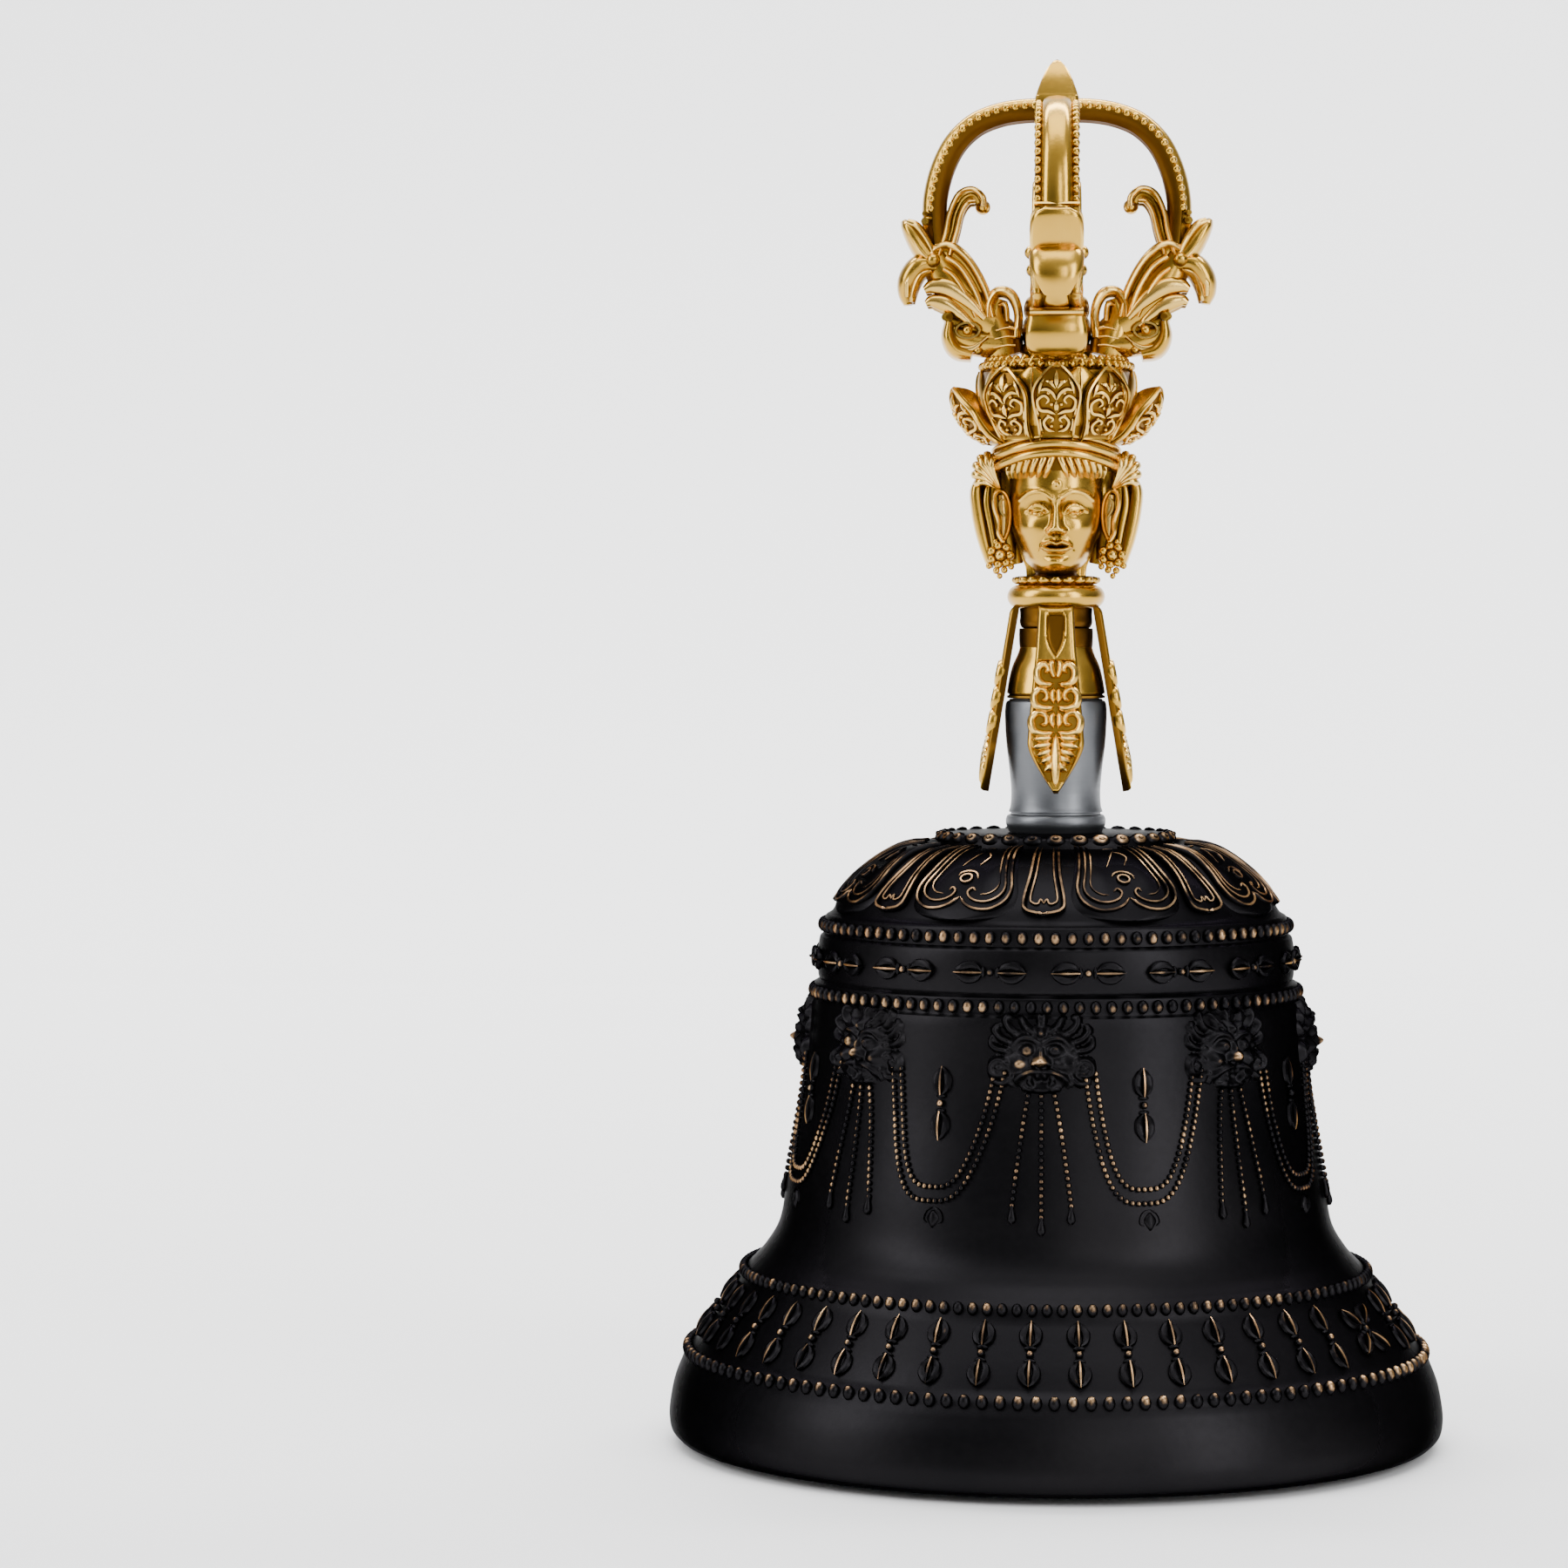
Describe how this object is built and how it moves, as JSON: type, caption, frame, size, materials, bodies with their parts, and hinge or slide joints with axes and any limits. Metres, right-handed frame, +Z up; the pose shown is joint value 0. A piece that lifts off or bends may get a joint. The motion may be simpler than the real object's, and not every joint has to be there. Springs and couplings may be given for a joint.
{
  "type": "tibetan bell",
  "caption": "Ritual hand bell: flared black cast bell with relief bands under a gilt handle with a crowned head and a half vajra, and a free swinging clapper.",
  "frame": {"origin": "centre of the bell's mouth, on the plane that the bell stands on", "axes": "+Z up along the handle to the spear tip, -Y the side that the head looks to, +X to the right as seen from there"},
  "size_m": [0.1156, 0.1156, 0.205],
  "materials": {
    "black_bronze": "black patinated cast bronze, satin, rubbed to copper on the raised edges",
    "gilt_brass": "satin gilt cast brass, darker in the recesses",
    "grey_steel": "satin grey, turned",
    "plain_steel": "plain turned steel",
    "clapper_brass": "turned brass, a little dulled"
  },
  "bodies": {
    "bell": {"bell_body": "black_bronze", "grip_foot": "grey_steel", "grip_sleeve": "grey_steel", "dome_cap": "gilt_brass", "neck_ring": "gilt_brass", "collar": "gilt_brass", "leaf_front": "gilt_brass", "leaf_right": "gilt_brass", "leaf_back": "gilt_brass", "leaf_left": "gilt_brass", "head": "gilt_brass", "diadem_band": "gilt_brass", "side_tress_left": "gilt_brass", "side_tress_right": "gilt_brass", "lotus_crown": "gilt_brass", "bead_ring": "gilt_brass", "vajra_hub": "gilt_brass", "centre_prong": "gilt_brass", "vajra_tip": "gilt_brass", "makara_front": "gilt_brass", "makara_right": "gilt_brass", "makara_back": "gilt_brass", "makara_left": "gilt_brass", "prong_front": "gilt_brass", "prong_right": "gilt_brass", "prong_back": "gilt_brass", "prong_left": "gilt_brass", "tie_rod": "plain_steel", "bell_washer": "plain_steel", "hanger_nut": "plain_steel"},
    "swivel": {"swivel_eye": "plain_steel"},
    "clapper": {"clapper_stem": "clapper_brass", "clapper_head": "clapper_brass"}
  },
  "joints": [
    {"name": "clapper_turn", "type": "hinge", "parent": "bell", "child": "swivel", "pos_m": [0, 0, 0.0769], "axis": [0, 0, 1], "continuous": true},
    {"name": "clapper_swing", "type": "hinge", "parent": "swivel", "child": "clapper", "pos_m": [0, 0, 0.0692], "axis": [1, 0, 0], "range_deg": [-35, 35]}
  ]
}
